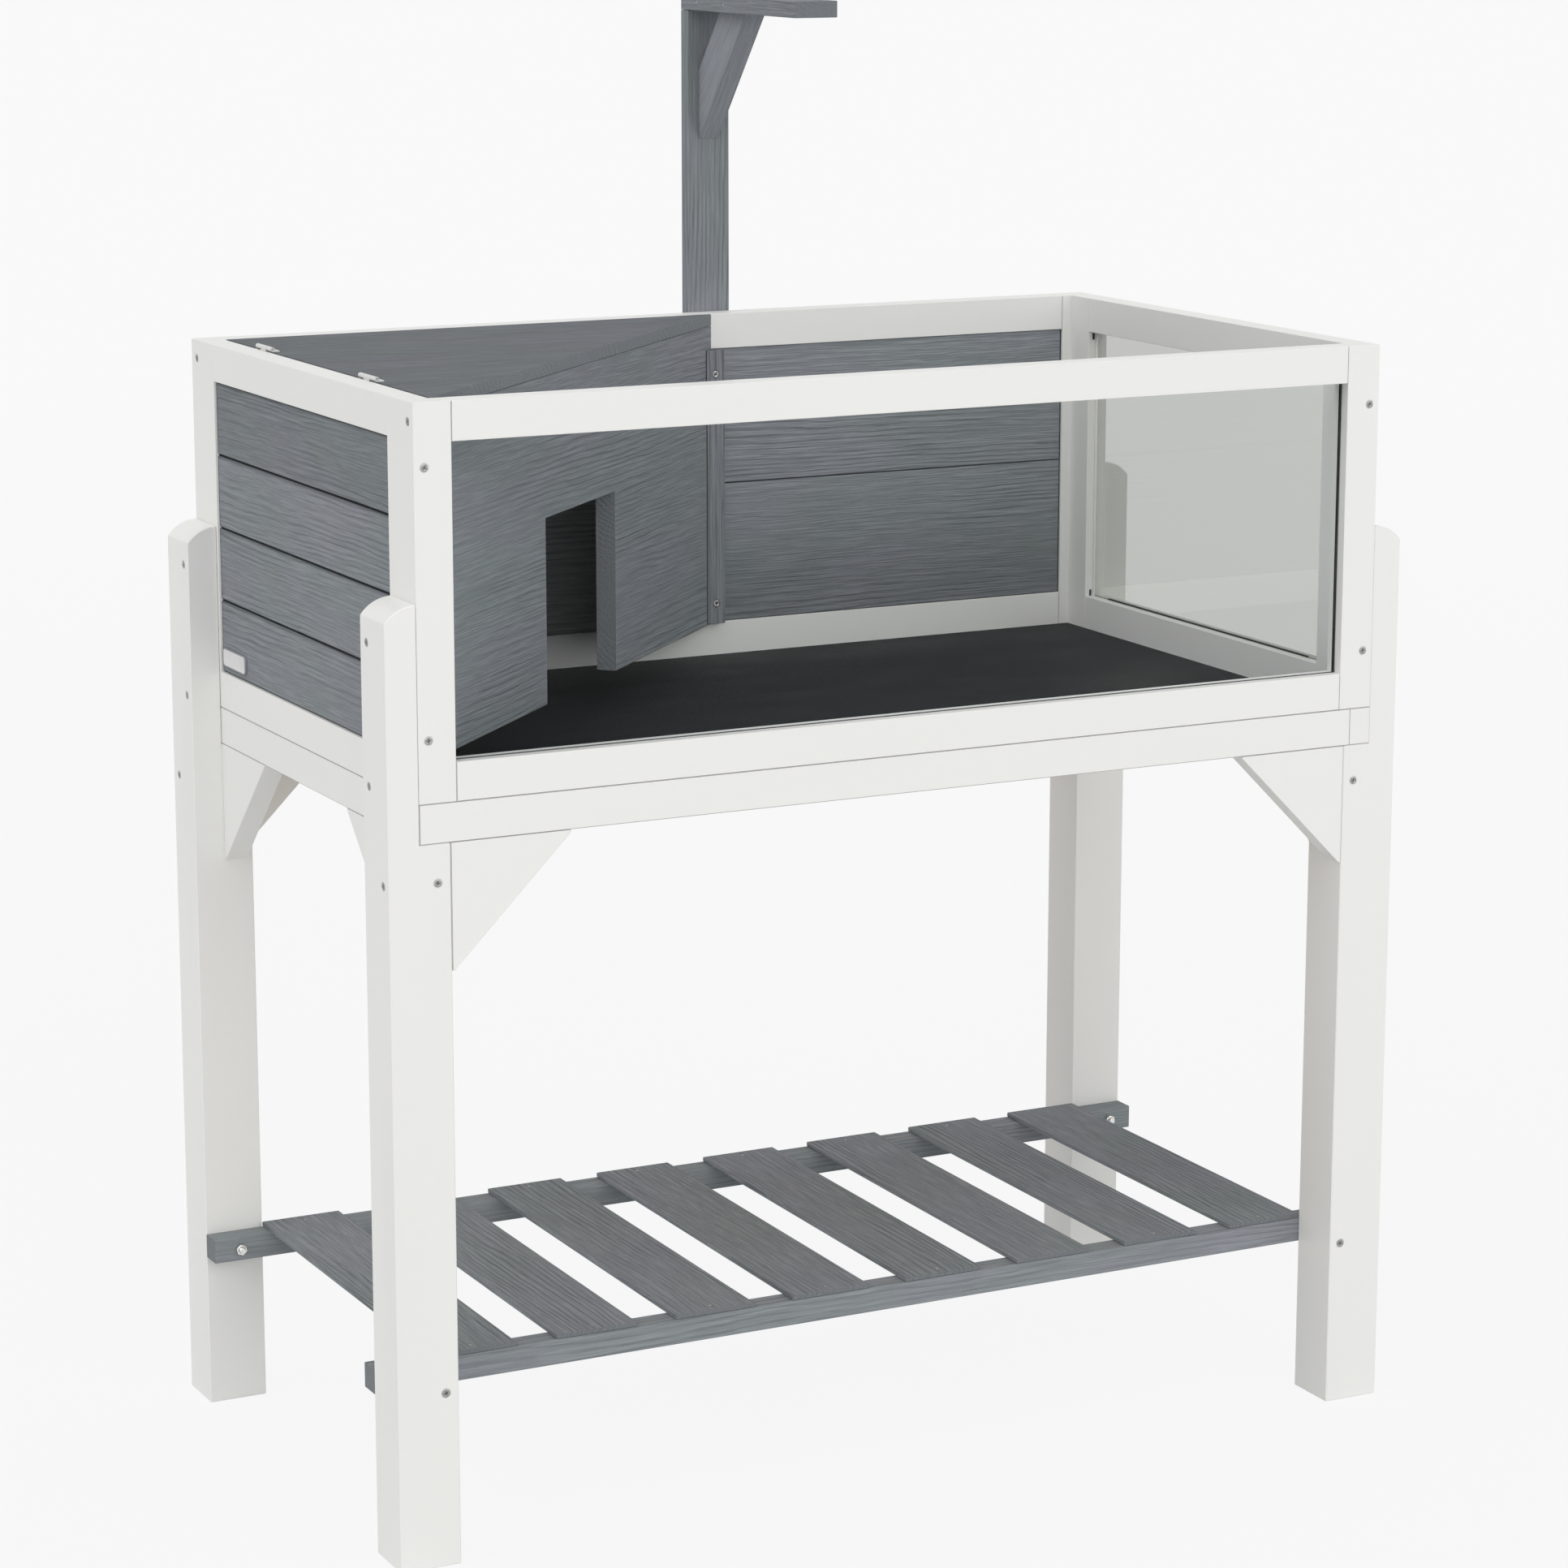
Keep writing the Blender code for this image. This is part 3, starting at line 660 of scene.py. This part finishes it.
def finish_of(name):
    """The finish of a CAD node, by its name."""
    if name.startswith(("corner_post", "leg_")):
        return paint["z"]
    if name in ("front_apron", "rear_apron"):
        return paint["apron"]
    if name.endswith("_apron") or (name.endswith("_rail") and not name.startswith("shelf")):
        return paint["x"] if name.startswith(("front", "rear")) else paint["y"]
    if name.startswith(("gusset_front", "gusset_rear")):
        return paint["gusset"]
    if name.startswith("gusset"):
        return paint["y"]
    if name.startswith("left_plank"):
        return stain["side planks"]
    if name.startswith("rear_plank"):
        return stain["rear planks"]
    if name.startswith("shelf_slat"):
        return stain["slats"]
    if name.startswith("hinge"):
        return steel
    return {
        "shelf_rail_front": stain["shelf rails"], "shelf_rail_rear": stain["shelf rails"],
        "hide_partition": stain["partition"], "hide_lid": stain["lid"],
        "hide_batten": stain["batten"], "lamp_post": stain["post"],
        "lamp_arm": stain["arm"], "lamp_brace": stain["brace"],
        "front_window": front_sheet, "right_window": shaded_side_sheet,
        "floor_board": plywood, "floor_liner": liner,
    }[name]


for name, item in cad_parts.items():
    item.data.materials.clear()
    item.data.materials.append(finish_of(name))


# Fastener patterns, modelled about the origin with the head's top at z = 0

def cross_bit(width, reach, depth):
    """The hollow that a cross-head driver fits: four arms that narrow downwards."""
    half = width / 2
    bit = block("cross bit", (-half, -half, -depth), (half, half, depth))
    for direction in (ALONG_X, -ALONG_X, ALONG_Y, -ALONG_Y):
        edit_faces(bit, lambda middle, normal: (middle - direction * half).length < half * 0.5)
        bpy.ops.mesh.extrude_region_move(TRANSFORM_OT_translate={"value": direction * (reach - half)})
        leave_edit()
    edit_faces(bit, faces_down)
    bpy.ops.transform.resize(value=(0.45, 0.45, 1))
    leave_edit()
    return bit


def countersunk_screw(name, radius, height):
    """The head of a countersunk screw, with a cross recess."""
    head = disc(name, 32, radius, -height, 0)
    edit_faces(head, faces_down)
    bpy.ops.transform.resize(value=(0.42, 0.42, 1))
    leave_edit()
    edit_faces(head, faces_up)
    bpy.ops.mesh.inset(thickness=radius * 0.10, depth=radius * 0.03)
    leave_edit()
    cut(head, cross_bit(radius * 0.34, radius * 0.74, radius * 0.45))
    soften(head, radius * 0.03, 1)
    return head


def nail_head(name):
    head = disc(name, 16, NAIL_RADIUS, -0.0012, 0)
    edit_faces(head, faces_up)
    bpy.ops.mesh.inset(thickness=NAIL_RADIUS * 0.35, depth=NAIL_RADIUS * 0.10)
    leave_edit()
    soften(head, NAIL_RADIUS * 0.10, 1)
    return head


def nut_on_bolt(name):
    """A six-sided nut standing on z = 0, with the end of its threaded bolt in it."""
    nut = disc(name, 6, NUT_RADIUS, 0, NUT_HEIGHT)
    edit_faces(nut, faces_up)
    bpy.ops.mesh.inset(thickness=NUT_RADIUS * 0.12, depth=NUT_RADIUS * 0.08)
    leave_edit()
    cut(nut, disc("nut bore", 28, BOLT_RADIUS * 1.08, NUT_HEIGHT * 0.4, NUT_HEIGHT * 2))
    soften(nut, 0.00035, 2)

    bolt = disc("bolt end", 28, BOLT_RADIUS, NUT_HEIGHT * 0.45, NUT_HEIGHT * 0.9)
    thread_turns = 4
    thread_step = 0.0005
    thread_root = 0.90
    tip = 0.75
    for scale in (thread_root, 1 / thread_root) * thread_turns + (tip,):
        edit_faces(bolt, faces_up)
        bpy.ops.mesh.extrude_region_move(TRANSFORM_OT_translate={"value": (0, 0, thread_step)})
        bpy.ops.transform.resize(value=(scale, scale, 1))
        leave_edit()
    pick(nut)
    bolt.select_set(True)
    bpy.ops.object.join()
    return nut


screw_pattern = countersunk_screw("screw pattern", HEAD_RADIUS, HEAD_HEIGHT)
hinge_screw_pattern = countersunk_screw("hinge screw pattern", LEAF_SCREW_RADIUS,
                                        LEAF_SCREW_RADIUS * 0.6)
bolt_pattern = countersunk_screw("bolt pattern", HEAD_RADIUS * 1.12, HEAD_HEIGHT)
nail_pattern = nail_head("nail pattern")
nut_pattern = nut_on_bolt("nut pattern")

# Each kind's pattern, the radius and depth of its pocket, and how far its head is sunk
HOLES = {
    "screw": (screw_pattern, POCKET_RADIUS, POCKET_DEPTH, HEAD_SINK),
    "bolt": (bolt_pattern, POCKET_RADIUS * 1.06, POCKET_DEPTH, HEAD_SINK),
    "nail": (nail_pattern, NAIL_RADIUS * 1.2, NAIL_SINK * 2.5, NAIL_SINK),
    "hinge_screw": (hinge_screw_pattern, LEAF_SCREW_RADIUS * 1.25, LEAF_SCREW_RADIUS * 0.22,
                    LEAF_SCREW_RADIUS * 0.10),
}


# Drilled timbers and what is screwed into them

def pocket(point, outward, radius, depth):
    """Cutter for a countersunk hole with a bore for the shank, standing a little out of the face."""
    over = depth * 0.5
    bpy.ops.object.select_all(action="DESELECT")
    bpy.ops.mesh.primitive_cone_add(vertices=32, radius1=radius * 0.80, radius2=radius * 1.10,
                                    depth=depth + over)
    cone = named("pocket")
    edit_faces(cone, faces_down)
    bpy.ops.mesh.inset(thickness=radius * 0.20)
    bpy.ops.mesh.extrude_region_move(TRANSFORM_OT_translate={"value": (0, 0, -radius * 0.40)})
    leave_edit()
    turn = outward.to_track_quat("Z", "Y").to_matrix().to_4x4()
    cone.data.transform(Matrix.Translation(point + outward * (over - depth) / 2) @ turn)
    return cone


def whole_copy(node_name):
    """A copy of a CAD timber with its loose triangles joined into whole faces."""
    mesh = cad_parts[node_name].data.copy()
    piece = bpy.data.objects.new(f"{node_name}_drilled", mesh)
    mesh.name = piece.name
    bpy.context.scene.collection.objects.link(piece)
    pick(piece)
    if mesh.has_custom_normals:
        bpy.ops.mesh.customdata_custom_splitnormals_clear()
    bpy.ops.object.mode_set(mode="EDIT")
    bpy.ops.mesh.select_all(action="SELECT")
    bpy.ops.mesh.remove_doubles(threshold=0.00001)
    bpy.ops.mesh.dissolve_limited(angle_limit=math.radians(0.5))
    bpy.ops.object.mode_set(mode="OBJECT")
    return piece


def drill(node_name, fasteners, body=ENCLOSURE):
    """Replace a CAD piece by a drilled copy, and set a fastener in each hole."""
    piece = whole_copy(node_name)
    for number, (kind, point, outward) in enumerate(fasteners, 1):
        point = Vector(point)
        pattern, radius, depth, sink = HOLES[kind]
        cut(piece, pocket(point, outward, radius, depth))
        # No two neighbouring heads are turned alike
        turn = math.radians(23 + 37 * number)
        fastener = placed_copy(pattern, f"{kind}_{node_name}_{number}", point - outward * sink,
                               outward, turn)
        settle(fastener, body, dark_steel)
    pick(piece)
    bpy.ops.object.shade_smooth_by_angle(angle=math.radians(24))
    weighted = piece.modifiers.new("flat faces stay flat", "WEIGHTED_NORMAL")
    weighted.keep_sharp = True
    bpy.ops.object.modifier_apply(modifier=weighted.name)
    settle(piece, body, finish_of(node_name))
    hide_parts(node_name)
    return piece


box_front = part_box("front_apron")[0].y
box_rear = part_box("rear_apron")[1].y
box_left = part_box("left_apron")[0].x
box_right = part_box("right_apron")[1].x
leg_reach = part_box("leg_front_right")[1].x

# Places of the fasteners: how far in from the outer faces of the box, and heights above the ground
post_screw_x = 0.0100
post_screw_heights = (1.0068, 0.7664)
side_screw_y = 0.0134
side_screw_height = 1.046
leg_screw_y = 0.0435
leg_screw_heights = (0.8503, 0.7216)
leg_low_screw_y = 0.0140
leg_low_screw_height = 0.637
leg_face_x = 0.0167
leg_face_height = 0.638
shelf_bolt_height = 0.165

# The others are placed in the frame of the house, but the lamp post's screws are to each side of its
# middle
shelf_nut_x = 0.5033
batten_screw_x = 0.0480
batten_screw_heights = (1.0036, 0.7664)
lamp_screw_offset = 0.011
lamp_screw_heights = (1.046, 0.728)
arm_brad_places = (0.2546, 0.1938)
arm_brad_height = 1.3772

for side, face_x, sideward in (("left", box_left, LEFTWARD), ("right", box_right, RIGHTWARD)):
    inward = -sideward.x
    for end, face_y, endward in (("front", box_front, FRONTWARD), ("rear", box_rear, REARWARD)):
        back = -endward.y
        post_holes = [("screw", (face_x + inward * post_screw_x, face_y, z), endward)
                      for z in post_screw_heights]
        post_holes.append(("screw", (face_x, face_y + back * side_screw_y, side_screw_height), sideward))
        drill(f"corner_post_{end}_{side}", post_holes)

        outer_x = sideward.x * leg_reach
        leg_holes = [("screw", (outer_x, face_y + back * leg_screw_y, z), sideward)
                     for z in leg_screw_heights]
        leg_holes.append(("screw", (outer_x, face_y + back * leg_low_screw_y, leg_low_screw_height),
                          sideward))
        leg_holes.append(("screw", (face_x + inward * leg_face_x, face_y, leg_face_height), endward))
        leg_holes.append(("bolt", (face_x + inward * leg_face_x, face_y, shelf_bolt_height), endward))
        drill(f"leg_{end}_{side}", leg_holes)

        rail_low, rail_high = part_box(f"shelf_rail_{end}")
        rail_face = rail_high.y if end == "front" else rail_low.y
        nut = placed_copy(nut_pattern, f"nut_{end}_{side}",
                          Vector((sideward.x * shelf_nut_x, rail_face, shelf_bolt_height)), -endward,
                          math.radians(12))
        settle(nut, ENCLOSURE, steel)

drill("hide_batten",
      [("screw", (batten_screw_x, batten_low.y, z), FRONTWARD) for z in batten_screw_heights])

rail_boxes = [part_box("shelf_rail_front"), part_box("shelf_rail_rear")]
rail_middles = [(low.y + high.y) / 2 for low, high in rail_boxes]
for number in range(1, 9):
    slat_low, slat_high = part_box(f"shelf_slat_{number}")
    slat_middle = (slat_low.x + slat_high.x) / 2
    drill(f"shelf_slat_{number}",
          [("nail", (slat_middle, y, slat_high.z), UPWARD) for y in rail_middles])

lamp_low, lamp_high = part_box("lamp_post")
lamp_middle = (lamp_low.x + lamp_high.x) / 2
drill("lamp_post",
      [("screw", (lamp_middle + offset, lamp_high.y, z), REARWARD)
       for z in lamp_screw_heights for offset in (-lamp_screw_offset, lamp_screw_offset)])

arm_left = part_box("lamp_arm")[0].x
drill("lamp_arm",
      [("nail", (arm_left, y, arm_brad_height), LEFTWARD) for y in arm_brad_places])


# Screws of the lid hinges

leaf_gap = 0.0003
leaf_thickness = 0.0012
leaf_screw_inset = 0.0023
leaf_screw_offset = 0.0140
leaf_top = lid_high.z + leaf_gap + leaf_thickness

for end in ("front", "rear"):
    leaf_low, leaf_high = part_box(f"hinge_{end}_lid_leaf")
    middle_y = (leaf_low.y + leaf_high.y) / 2
    drill(f"hinge_{end}_lid_leaf",
          [("hinge_screw", (leaf_high.x - leaf_screw_inset, middle_y + offset, leaf_top), UPWARD)
           for offset in (-leaf_screw_offset, leaf_screw_offset)], body=LID)


# Glazing beads of the two clear sheets; the black ones are painted shade of the grooves seen through the
# sheets. A small gap keeps them off the timber and the sheets.

BEAD_GAP = 0.0001
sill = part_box("front_bottom_rail")[1].z
head = front_rail_low.z
right_rail_low, right_rail_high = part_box("right_top_rail")


def front_bead():
    """A black ring bead, painted shade of the groove, that fills the frame's edge on both sides of the
    front sheet.

    Lip is its thickness on each side of the sheet, and proud how far it stands out of the rails.
    """
    low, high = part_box("front_window")
    lip = 0.0005
    proud = 0.0004
    side_proud = 0.0015
    clear = 0.01
    bead = block("front_glazing_bead", (front_rail_low.x + BEAD_GAP, low.y - lip, sill + BEAD_GAP),
                 (front_rail_high.x - BEAD_GAP, high.y + lip, head - BEAD_GAP))
    inset, side_inset = BEAD_GAP + proud, BEAD_GAP + side_proud
    cut(bead, block("bead opening", (front_rail_low.x + side_inset, low.y - clear, sill + inset),
                    (front_rail_high.x - side_inset, high.y + clear, head - inset)))
    cut(bead, block("bead slot", (low.x, low.y - BEAD_GAP, low.z),
                    (high.x, high.y + BEAD_GAP, high.z)))
    soften(bead, 0.00015, 1)
    settle(bead, ENCLOSURE, glazing)


def side_bead():
    """A black bead, painted shade of the groove, along the sill, inside the side sheet and short of both
    posts.
    """
    sheet_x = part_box("right_window")[0].x
    front_end, rear_end = -0.2000, 0.1810
    thickness = 0.0014
    height = 0.0018
    bead = block("side_glazing_bead", (sheet_x - thickness, front_end, sill + BEAD_GAP),
                 (sheet_x - BEAD_GAP, rear_end, sill + height))
    soften(bead, 0.0002, 2)
    settle(bead, ENCLOSURE, glazing)


def stile_beads():
    """Pale fillers in the grooves of both posts, and a pale bead along each that covers the groove."""
    low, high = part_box("right_window")
    filler = 0.0006
    start, proud = 0.0002, 0.0028
    cover_thickness = 0.0020
    for end, edge_y, groove_y, inward in (("rear", right_rail_high.y, high.y, -1),
                                          ("front", right_rail_low.y, low.y, 1)):
        for side, x in (("inner", low.x - filler), ("outer", high.x)):
            bead = block(f"stile_bead_{end}_{side}", (x, min(edge_y, groove_y), sill + BEAD_GAP),
                         (x + filler, max(edge_y, groove_y), head - BEAD_GAP))
            soften(bead, 0.0001, 1)
            settle(bead, ENCLOSURE, paint["z"])
        reach = sorted((edge_y + inward * start, edge_y + inward * proud))
        cover = block(f"stile_cover_{end}", (low.x - cover_thickness, reach[0], sill + BEAD_GAP),
                      (low.x - BEAD_GAP, reach[1], head - BEAD_GAP))
        soften(cover, 0.0006, 3)
        settle(cover, ENCLOSURE, paint["z"])


front_bead()
side_bead()
stile_beads()


def glazing_clip(name, point, facing):
    """A small tab on the stile's edge that keeps a corner of the side sheet in."""
    half_size = Vector((0.0010, 0.0004, 0.0034))
    tab = block(name, point - half_size, point + half_size)
    edit_faces(tab, lambda middle, normal: normal.dot(facing) > 0.9)
    bpy.ops.mesh.inset(thickness=0.0004, depth=0.0003)
    leave_edit()
    soften(tab, 0.0002, 2)
    settle(tab, ENCLOSURE, glazing)


clip_x = 0.4815
clip_proud = 0.0005
clip_heights = {"top": 1.0234, "bottom": 0.7490}

for end, edge_y, facing in (("rear", right_rail_high.y, FRONTWARD),
                            ("front", right_rail_low.y, REARWARD)):
    for level, z in clip_heights.items():
        clip_point = Vector((clip_x, edge_y, z)) + facing * clip_proud
        glazing_clip(f"glazing_clip_{end}_{level}", clip_point, facing)


# Bare name plate on the lowest side plank

def bare_plate():
    """A rounded plate with a raised rim and an empty face. The rim's grey is partly painted shadow."""
    plank_face = side_plank_low.x
    thickness, gap = 0.0028, 0.0001
    front_end, rear_end = 0.1460, 0.2060
    bottom, top = 0.7530, 0.7705
    sunk = 0.0003
    plate = block("name_plate", (plank_face - thickness, front_end, bottom),
                  (plank_face - gap, rear_end, top))
    edit_edges(plate, lambda first, second: abs(first.x - second.x) > 0.001)
    bpy.ops.mesh.bevel(offset=0.0042, segments=5, affect="EDGES")
    leave_edit()
    edit_faces(plate, lambda middle, normal: normal.x < -0.9)
    bpy.ops.mesh.inset(thickness=0.0009)
    bpy.ops.transform.translate(value=(sunk, 0, 0))
    leave_edit()
    soften(plate, 0.00025, 2)
    settle(plate, ENCLOSURE, rim_and_shadow_line)

    # Only the wide face that is sunk behind the rim is pale
    plate.data.materials.append(plate_face)
    rim_back = plank_face - 0.0026
    for face in plate.data.polygons:
        is_sunk = face.normal.x < -0.95 and face.center.x > rim_back
        face.material_index = int(is_sunk and face.area > 0.0001)


bare_plate()

for pattern in (screw_pattern, hinge_screw_pattern, bolt_pattern, nail_pattern, nut_pattern):
    bpy.data.objects.remove(pattern, do_unlink=True)


# Camera, floor and light

def photo_camera():
    forward = Vector((math.sin(CAMERA_YAW) * math.cos(CAMERA_PITCH),
                      math.cos(CAMERA_YAW) * math.cos(CAMERA_PITCH), math.sin(CAMERA_PITCH)))
    level = Vector((math.cos(CAMERA_YAW), -math.sin(CAMERA_YAW), 0))
    upright = level.cross(forward)
    right = level * math.cos(CAMERA_ROLL) + upright * math.sin(CAMERA_ROLL)
    up = upright * math.cos(CAMERA_ROLL) - level * math.sin(CAMERA_ROLL)
    lens = bpy.data.cameras.new("photo camera")
    lens.sensor_width = SENSOR_WIDTH
    lens.lens = SENSOR_WIDTH * FOCAL_PIXELS / PHOTO_PIXELS
    lens.clip_end = 200
    camera = bpy.data.objects.new("photo camera", lens)
    bpy.context.scene.collection.objects.link(camera)
    turn = Matrix((right, up, -forward)).transposed().to_4x4()
    camera.matrix_world = Matrix.Translation(CAMERA_PLACE) @ turn
    bpy.context.scene.camera = camera


def seen_rays(tree):
    """One for the rays that show the background: camera, glossy and transmission rays."""
    rays = node(tree, "ShaderNodeLightPath").outputs
    seen = sum_up(tree, "MAXIMUM", rays["Is Camera Ray"], rays["Is Glossy Ray"])
    return sum_up(tree, "MAXIMUM", seen, rays["Is Transmission Ray"])


def pale_world():
    world = bpy.data.worlds.new("pale studio")
    world.use_nodes = True
    tree = world.node_tree
    tree.nodes.clear()
    light = node(tree, "ShaderNodeBackground", {"Color": WORLD_LIGHT, "Strength": 1.0})
    shown = node(tree, "ShaderNodeBackground", {"Color": BACKGROUND, "Strength": 1.0})
    mixed = mix_shaders(tree, seen_rays(tree), light, shown)
    node(tree, "ShaderNodeOutputWorld", {"Surface": mixed.outputs[0]})
    bpy.context.scene.world = world


def pale_floor():
    """A wide floor that looks like the background, keeps a faint shadow and fades out at its rim."""
    bpy.ops.object.select_all(action="DESELECT")
    bpy.ops.mesh.primitive_circle_add(vertices=96, radius=FLOOR_RADIUS, fill_type="NGON",
                                      location=(0, 0, FLOOR_HEIGHT))
    floor = named("studio floor")
    material, tree, shader = new_material("pale floor")
    tree.nodes.remove(shader)
    glow = node(tree, "ShaderNodeEmission", {"Color": BACKGROUND, "Strength": 1.0})
    matt = node(tree, "ShaderNodeBsdfDiffuse", {"Color": FLOOR_MATT})
    bounce = node(tree, "ShaderNodeBsdfDiffuse", {"Color": FLOOR_BOUNCE})
    place = node(tree, "ShaderNodeTexCoord").outputs["Object"]
    distance = node(tree, "ShaderNodeVectorMath", {0: place}, operation="LENGTH").outputs["Value"]
    share = spread(tree, distance, *SHADOW_FADE, SHADOW_SHARE, 0.0)
    shown = mix_shaders(tree, share, glow, matt)
    mixed = mix_shaders(tree, seen_rays(tree), bounce, shown)
    tree.links.new(mixed.outputs[0], tree.nodes["Material Output"].inputs["Surface"])
    floor.data.materials.append(material)


def soft_sun(name, strength, direction):
    """A wide sun, like a large soft box, that shines from the given direction."""
    lamp = bpy.data.lights.new(name, "SUN")
    lamp.energy = strength
    lamp.angle = SUN_ANGLE
    lamp.color = SUN_COLOUR
    sun = bpy.data.objects.new(name, lamp)
    sun.rotation_mode = "QUATERNION"
    sun.rotation_quaternion = direction.to_track_quat("Z", "Y")
    bpy.context.scene.collection.objects.link(sun)


photo_camera()
pale_world()
pale_floor()
soft_sun("front soft light", *FRONT_SUN)
soft_sun("left soft light", *LEFT_SUN)
bpy.context.scene.view_settings.view_transform = "Standard"
